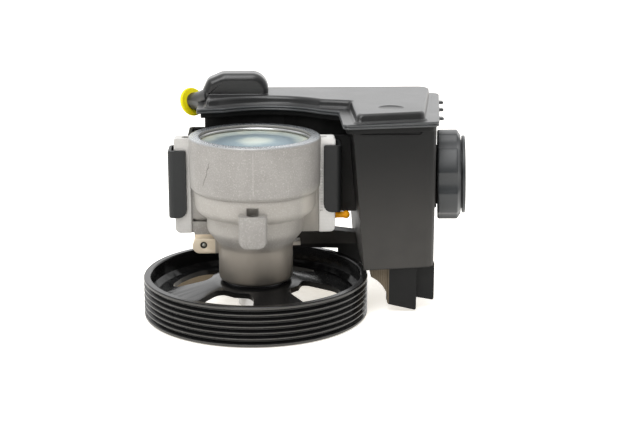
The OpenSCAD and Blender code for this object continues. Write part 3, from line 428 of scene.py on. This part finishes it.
def rounded(points, radii, n=7):
    """An outline with each corner rounded by its own radius."""
    points, line = np.asarray(points, float), []
    for before, at, after, r in zip(np.roll(points, 1, 0), points, np.roll(points, -1, 0), radii):
        if r <= 0:
            line.append(at)
            continue
        u, v = ((p - at) / np.linalg.norm(p - at) for p in (before, after))
        half = math.acos(max(-1.0, min(1.0, float(u @ v)))) / 2
        middle = at + (u + v) / np.linalg.norm(u + v) * r / math.sin(half)
        start, end = (at + w * r / math.tan(half) - middle for w in (u, v))
        first, last = (math.degrees(math.atan2(p[1], p[0])) for p in (start, end))
        sweep = (last - first + 540) % 360 - 180
        line += list(arc(middle, r, first, first + sweep, n))
    return np.array(line)


def inset(points, d):
    """A counter-clockwise outline moved inwards."""
    points = np.asarray(points, float)
    ahead = np.roll(points, -1, 0) - points
    ahead /= np.linalg.norm(ahead, axis=1)[:, None]
    side = np.column_stack([-ahead[:, 1], ahead[:, 0]])
    before = np.roll(side, 1, 0)
    return points + d * (side + before) / (1 + np.sum(side * before, 1))[:, None]


def stack(rings):
    """A closed skin over rings with equal numbers of points."""
    count, last = len(rings[0]), len(rings[0]) * (len(rings) - 1)
    faces = [(low + i, low + (i + 1) % count, low + count + (i + 1) % count, low + count + i)
             for low in range(0, last, count) for i in range(count)]
    ends = [tuple(reversed(range(count))), tuple(range(last, last + count))]
    return np.vstack(rings), faces + ends


def level(line, z):
    """An outline in x and y, at a height."""
    return np.column_stack([line, np.full(len(line), z)])


def upright(line, y):
    """An outline in x and z, at a depth."""
    return np.column_stack([line[:, 0], np.full(len(line), y), line[:, 1]])


def ring(r, z, steps):
    """A level ring; r may be one radius or one for each step."""
    turn = np.arange(steps) * 2 * math.pi / steps
    return np.column_stack([r * np.cos(turn), r * np.sin(turn), np.full(steps, z)])


def lathe(profile, steps):
    return stack([ring(r, z, steps) for r, z in profile])


def thread(root, crest, pitch, low, high, steps=48):
    """A helical ridge between two heights; its ends fade into the root."""
    turns, width, rings = (high - low) / pitch, pitch * 0.38, []
    for i in range(int(turns * steps) + 1):
        a, z = 2 * math.pi * i / steps, low + pitch * i / steps
        top = root + (crest - root) * min(1.0, 4 * i / steps, 4 * (turns - i / steps))
        section = ((root, -width), (top, -width / 3), (top, width / 3), (root, width))
        rings.append(np.array([(r * math.cos(a), r * math.sin(a), z + w) for r, w in section]))
    return stack(rings)


def bar(path, r, sides=10):
    """A round bar along a path in three dimensions."""
    path, aside = np.asarray(path, float), (0.1, 0.99, 0.05)
    along = np.gradient(path, axis=0)
    along /= np.linalg.norm(along, axis=1)[:, None]
    across = np.cross(along, aside)
    across /= np.linalg.norm(across, axis=1)[:, None]
    up = np.cross(along, across)
    return stack([p + ring(r, 0, sides) @ np.array(axes) for p, *axes in zip(path, across, up, along)])


def block(low, high, edge):
    """A box with its edges rounded."""
    (x0, y0, z0), (x1, y1, z1) = low, high
    line = rounded([(x0, y0), (x1, y0), (x1, y1), (x0, y1)], [edge] * 4, 3)
    end = inset(line, edge * 0.6)
    return stack([level(end, z0), level(line, z0 + edge), level(line, z1 - edge), level(end, z1)])


def placed(shape, matrix):
    points, faces = shape
    return np.column_stack([points, np.ones(len(points))]) @ np.array(matrix).T[:, :3], faces


def joined(name, *shapes):
    """One mesh, in metres, from several shapes."""
    work = bmesh.new()
    for points, faces in shapes:
        verts = [work.verts.new(p * MM) for p in points]
        made = [work.faces.new([verts[i] for i in face]) for face in faces]
        bmesh.ops.recalc_face_normals(work, faces=made)
    mesh = bpy.data.meshes.new(name)
    work.to_mesh(mesh)
    work.free()
    return mesh


def carved(mesh, tool):
    """A mesh with a closed tool cut out of it."""
    work, knife = bpy.data.objects.new("work", mesh), bpy.data.objects.new("knife", tool)
    for thing in (work, knife):
        bpy.context.scene.collection.objects.link(thing)
    cut = work.modifiers.new("cut", "BOOLEAN")
    cut.operation, cut.object, cut.solver = "DIFFERENCE", knife, "EXACT"
    bpy.context.view_layer.update()
    result = bpy.data.meshes.new_from_object(work.evaluated_get(bpy.context.evaluated_depsgraph_get()))
    for thing in (work, knife):
        bpy.data.objects.remove(thing)
    return result


def merged(name, *meshes):
    work = bmesh.new()
    for mesh in meshes:
        work.from_mesh(mesh)
    result = bpy.data.meshes.new(name)
    work.to_mesh(result)
    work.free()
    return result


# Pieces

def finished(name, mesh, material, node, sharp, replaces=True):
    """A piece on the body of a CAD node, in the given material; edges past the angle stay sharp."""
    piece = bpy.data.objects.new(name, mesh)
    bpy.context.scene.collection.objects.link(piece)
    mesh.materials.clear()
    mesh.materials.append(material)
    mesh.polygons.foreach_set("use_smooth", np.ones(len(mesh.polygons), bool))
    mesh.polygons.foreach_set("material_index", np.zeros(len(mesh.polygons), np.int32))
    mesh.set_sharp_from_angle(angle=math.radians(sharp))
    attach(piece, BODY_OF[node])
    if replaces:
        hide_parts(node)
    return piece


def added(name, material, node, *shapes):
    """A small piece beside a CAD node, which stays."""
    finished(name, joined(name + "_mesh", *shapes), material, node, 50, replaces=False)


def even_shading(piece):
    even = piece.modifiers.new("even", "WEIGHTED_NORMAL")
    even.keep_sharp, even.weight = True, 80


def edge_broken(node, material, edge):
    """A CAD node's own shape with its sharp edges rounded over."""
    weld, flat, sharp = 0.002, 0.4, 35
    work = bmesh.new()
    work.from_mesh(frame["nodes"][node].data)
    bmesh.ops.remove_doubles(work, verts=work.verts, dist=weld * MM)
    bmesh.ops.dissolve_limit(work, angle_limit=math.radians(flat), verts=work.verts, edges=work.edges)
    mesh = bpy.data.meshes.new(node + "_mesh")
    work.to_mesh(mesh)
    work.free()
    piece = finished(node + "_finished", mesh, material, node, sharp)
    bevel = piece.modifiers.new("edge", "BEVEL")
    bevel.width, bevel.segments = edge * MM, 2
    bevel.limit_method, bevel.angle_limit = "ANGLE", math.radians(sharp)
    bevel.harden_normals = True


# Reservoir lid

def lid_sheet():
    """The sheet, from the hollow below over the flange's two beads and the step to the plateau."""
    arc_centre, arc_steps = (7, 4), 28
    flange = np.vstack([FLANGE_CORNERS, arc(arc_centre, 44.6, 126, 42, arc_steps), [(51.5, 27)]])
    plateau = np.vstack([PLATEAU_CORNERS, arc(arc_centre, 49.1, 128, 46, arc_steps), [(59.3, 34)]])
    radii = [3, 5, 5, 5, 1.5] + [0] * (arc_steps + 1) + [3]
    wall, bead, bead_pitch, crown = 2.5, 0.75, 1.6, 2.4
    half_round = np.radians(range(0, 181, 20))
    step = [(-2.3, 3.1), (-1.6, 3.25), (-1.25, 3.6), (-1.1, 3.85), (-0.5, 4.05), (-0.15, 4.5)]
    sections = [(plateau, wall, LID_TOP - wall), (plateau, wall, SPLIT)]
    for low in (SPLIT, SPLIT + bead_pitch):
        sections += [(flange, bead * (1 - math.sin(a)), low + bead * (1 - math.cos(a))) for a in half_round]
    sections += [(plateau, inward, SPLIT + rise) for inward, rise in step]
    sections += [(plateau, 0.2 + inward, LID_TOP - short) for inward, short in rounding(crown, 6)]
    return stack([level(rounded(inset(line, inward), radii), z) for line, inward, z in sections])


def lid_dish():
    """The tool that cuts the shallow dimple at the front."""
    hollow = [(0.4, -0.8), (4.0, -0.75), (6.6, -0.6), (7.6, -0.25), (8.0, 0.1), (8.0, 2.0), (0.4, 2.0)]
    return placed(lathe(hollow, 72), Matrix.Translation((82, 9, LID_TOP)))


def lid_hump():
    """The hump that the return stub leaves: its side view, rounded off at the near and the far end."""
    foot, brow, shoulder, crest = LID_TOP - 9, LID_TOP + 1.5, LID_TOP + 9, LID_TOP + 13
    corners = [(-32, foot), (9, foot), (9, crest), (-20, crest), (-29.5, shoulder), (-33, brow)]
    side = rounded(corners, [0, 0, 10.5, 9, 5, 3], 9)
    near, far, ends = 59.0, 78.0, rounding(4.6, 8)
    slices = [(near + short, inward) for inward, short in reversed(ends)]
    slices += [(far - short, inward) for inward, short in ends]
    return stack([upright(inset(side, inward), y) for y, inward in slices])


def return_stub():
    bore, wall, bead, end = 3.5, 5.1, 5.5, 15.0
    profile = [(bore, -2), (bore, end - 0.4), (bore + 0.4, end), (bead - 0.5, end), (bead, end - 0.5),
               (bead, end - 2.4), (wall, end - 3), (wall, 2.6), (bead, 1.6), (bead, -4)]
    return placed(lathe(profile, 64), AT_STUB)


def lid_tab(y):
    """A tab that stands out from the flange's right edge."""
    (x0, y0), (x1, y1) = FLANGE_CORNERS[1:3]
    x = x0 + (x1 - x0) * (y - y0) / (y1 - y0) - 1.6
    return block((x, y, SPLIT + 0.6), (x + 4.4, y + 5, SPLIT + 2.4), 0.5)


def reservoir_lid():
    top = carved(joined("lid_top", lid_sheet()), joined("dish", lid_dish()))
    rest = joined("lid_rest", lid_hump(), return_stub(), *(lid_tab(y) for y in (8, 38, 64)))
    mesh = merged("reservoir_lid_mesh", top, rest)
    even_shading(finished("reservoir_lid_finished", mesh, LID, "reservoir_lid", 40))


# Other pieces

def filler_cap():
    """The lobed cap: six hollows round its wall, a chamfered edge, and a disc over a groove."""
    steps, low, high, full, disc, face = 288, 4.8, 19.3, 28.0, 24.3, 22.1
    hollow_r, hollow_depth, blend = 13.7, 2.2, 0.9
    pitch = 2 * math.pi / 6
    turn = np.arange(steps) * 2 * math.pi / steps
    off = (turn - math.pi / 2 + pitch / 2) % pitch - pitch / 2
    reach = full + hollow_r - hollow_depth
    under = hollow_r ** 2 - (reach * np.sin(off)) ** 2
    hollow = np.where(under > 0, reach * np.cos(off) - np.sqrt(np.maximum(under, 0)), 2 * full)

    def lobed(inward, z):
        wall, cut = full - inward, hollow - inward * 0.55
        share = np.clip(0.5 + 0.5 * (cut - wall) / blend, 0, 1)
        return ring(cut * (1 - share) + wall * share - blend * share * (1 - share), z, steps)

    bore = [(19, 15.65), (19, low + 0.8), (19.8, low)]
    chamfer = [(0, 2.5), (0.1, 2.25), (0.35, 2.0), (3.0, 0.25), (3.3, 0.06), (3.6, 0)]
    groove = [(21.8, high), (21.5, high + 0.2), (21.5, high + 0.7),
              (disc - 0.3, high + 0.8), (disc, high + 1.1)]
    rings = [ring(r, z, steps) for r, z in bore]
    rings += [lobed(inward, low + short) for inward, short in reversed(rounding(1.2, 4))]
    rings += [lobed(0, high - 3.4)]
    rings += [lobed(inward, high - short) for inward, short in chamfer]
    rings += [ring(r, z, steps) for r, z in groove]
    rings += [ring(disc - inward, face - short, steps) for inward, short in rounding(0.6, 4)]
    mesh = joined("filler_cap_mesh", placed(stack(rings), AT_CAP))
    even_shading(finished("filler_cap_finished", mesh, CAP, "filler_cap", 40))


def tank_lip():
    """The lip under the lid, along the tank's slanting front wall."""
    line = [(60.9, 113.8), (61.3, 112.4), (62.1, 111.5), (63.4, 111.25), (80, 110.7),
            (97.0, 110.1), (98.4, 110.4), (99.2, 111.4), (99.5, 112.8)]
    corner_x, corner_y, slant = 54, -14.3, 7.6 / 54
    path = [(x, corner_y + (x - corner_x) * slant, z) for x, z in line]
    added("tank_lip", TANK, "reservoir_tank", bar(path, 0.6))


def neck_thread():
    ridge = thread(root=18.3, crest=18.9, pitch=4.0, low=5.5, high=13.3)
    added("neck_thread", TANK, "filler_neck", placed(ridge, AT_CAP))


def housing_details():
    """Threads in the port and the boss, and the saw marks beside the right clip."""
    at_port = Matrix.Translation((-12, 35.6, 57)) @ Matrix.Rotation(math.radians(-90), 4, "X")
    port = placed(thread(root=6.25, crest=5.75, pitch=1.5, low=0.6, high=10.6), at_port)
    at_boss = Matrix.Translation((-1.6, -35.9, 50))
    boss = placed(thread(root=3.45, crest=3.0, pitch=1.0, low=0.5, high=18.0), at_boss)
    marks = [block((39.3, 7.72, z), (41.0, 8.05, z + 0.75), 0.15) for z in np.arange(60.2, 100.0, 1.75)]
    added("housing_details", ALLOY, "pump_housing", port, boss, *marks)


def lug_ball():
    """The ball in the lug's hole."""
    r, lean = 1.15, np.radians(range(176, 0, -12))
    ball = lathe([(r * math.sin(a), r * math.cos(a)) for a in lean], 32)
    added("lug_ball", ZINC, "pump_housing", placed(ball, Matrix.Translation(LUG_HOLE)))


def shaft_details():
    """The thread in the shaft's end."""
    puller = thread(root=3.45, crest=3.0, pitch=1.25, low=0.6, high=14.5)
    added("shaft_details", STEEL, "drive_shaft", puller)


def valve_spring():
    """The coil, on its own copy of the CAD node's mesh."""
    mesh = frame["nodes"]["valve_spring"].data.copy()
    coil = finished("valve_spring_finished", mesh, ZINC, "valve_spring", 60)
    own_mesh(coil)


for node, (material, edge) in {
    "pump_housing": (ALLOY, 0.4), "end_cover": (COVER, 0.2), "pulley": (GLOSS, 0.22),
    "clamp_clip_left": (CLIP, 0.45), "clamp_clip_right": (CLIP, 0.45), "clip_lock_pin": (ORANGE, 0.2),
    "reservoir_tank": (TANK, 0.6), "filler_neck": (TANK, 0.4), "return_cap": (YELLOW, 0.25),
    "valve_plug": (ZINC, 0.3), "pulley_bolts": (ZINC, 0.25), "pulley_hub": (STEEL, 0.3),
    "drive_shaft": (STEEL, 0.3), "dipstick": (ORANGE, 0.2),
}.items():
    edge_broken(node, material, edge)

reservoir_lid()
filler_cap()
tank_lip()
neck_thread()
housing_details()
lug_ball()
shaft_details()
valve_spring()

for node, material in {
    "cover_retaining_ring": STEEL, "cover_o_ring": RUBBER, "disc_spring": STEEL, "pressure_plate": STEEL,
    "cam_ring": STEEL, "thrust_plate": STEEL, "dowel_pins": STEEL, "rotor": STEEL, "rotor_circlip": STEEL,
    "plain_bush": BRONZE, "shaft_seal": RUBBER, "bearing_outer_race": STEEL, "bearing_inner_race": STEEL,
    "bearing_balls": STEEL, "bearing_cage": BRONZE, "bearing_circlip": STEEL, "valve_spool": STEEL,
    "suction_o_ring": RUBBER, "suction_strainer": BRONZE, "cap_seal": RUBBER,
    **{f"vane_{i}": STEEL for i in range(1, 11)},
}.items():
    cad = frame["nodes"][node]
    cad.data.materials.clear()
    cad.data.materials.append(material)


# Stage, light and camera

def stage():
    """A wide pale floor just under the part, which glows a little."""
    material = bpy.data.materials.new("pale_floor")
    nodes = Nodes(material)
    glow = nodes.node("BsdfPrincipled", {}, {
        "Base Color": rgb(0.86, 0.86, 0.86), "Roughness": 0.8,
        "Emission Color": rgb(1.0, 0.95, 0.86), "Emission Strength": 0.68})
    nodes.node("OutputMaterial", {}, {"Surface": glow})
    size, low = 6.0, cad_box[0].z - 0.5 * MM
    corners = [(-size, -size, low), (size, -size, low), (size, size, low), (-size, size, low)]
    mesh = bpy.data.meshes.new("floor")
    mesh.from_pydata(corners, [], [(0, 1, 2, 3)])
    mesh.materials.append(material)
    floor = bpy.data.objects.new("floor", mesh)
    bpy.context.scene.collection.objects.link(floor)


def room():
    """A white room, dark in front and bright behind, which the camera itself sees as even."""
    world = bpy.data.worlds.new("studio")
    bpy.context.scene.world = world
    nodes = Nodes(world)
    depth = nodes.node("SeparateXYZ", {}, [nodes.node("TexCoord", out="Generated")], out="Y")
    fade = nodes.node("MapRange", {"interpolation_type": "SMOOTHSTEP"}, [depth, -0.98, 0.25, 0.10, 1.0])
    lift = nodes.node("MapRange", {}, [depth, 0.0, 1.0, 1.0, 1.7])
    seen = nodes.node("LightPath", out="Is Camera Ray")
    strength = nodes.node("Mix", {}, {0: seen, 2: fade * lift, 3: 1.1})
    white = nodes.node("Background", {}, {"Color": rgb(1, 1, 1), "Strength": strength})
    nodes.node("OutputWorld", {}, {"Surface": white})


def softbox(name, at, size, power):
    """A square lamp that points at the pump."""
    data = bpy.data.lights.new(name, "AREA")
    data.shape, data.size, data.energy = "SQUARE", size, power
    lamp, target = bpy.data.objects.new(name, data), Vector((0.03, 0.02, 0.06))
    lamp.location = at
    lamp.rotation_mode = "QUATERNION"
    lamp.rotation_quaternion = (target - lamp.location).to_track_quat("-Z", "Y")
    bpy.context.scene.collection.objects.link(lamp)


def camera():
    """The camera fitted to the photo."""
    data = bpy.data.cameras.new("camera")
    data.sensor_width, data.lens, data.sensor_fit = 36.0, 76.17, "HORIZONTAL"
    data.clip_start, data.clip_end = 0.01, 20.0
    eye = bpy.data.objects.new("camera", data)
    turn = Euler(np.radians((75.39280, -0.15875, -2.77832))).to_matrix()
    eye.matrix_world = Matrix.Translation((0.0, -0.791186, 0.267285)) @ turn.to_4x4()
    bpy.context.scene.collection.objects.link(eye)
    bpy.context.scene.camera = eye


camera()
stage()
room()
softbox("softbox_front", (-0.35, -0.85, 1.15), 0.8, 12.0)
softbox("softbox_top", (0.0, -0.22, 1.15), 0.6, 5.0)
bpy.context.scene.view_settings.view_transform = "Standard"
bpy.context.scene.view_settings.look = "None"
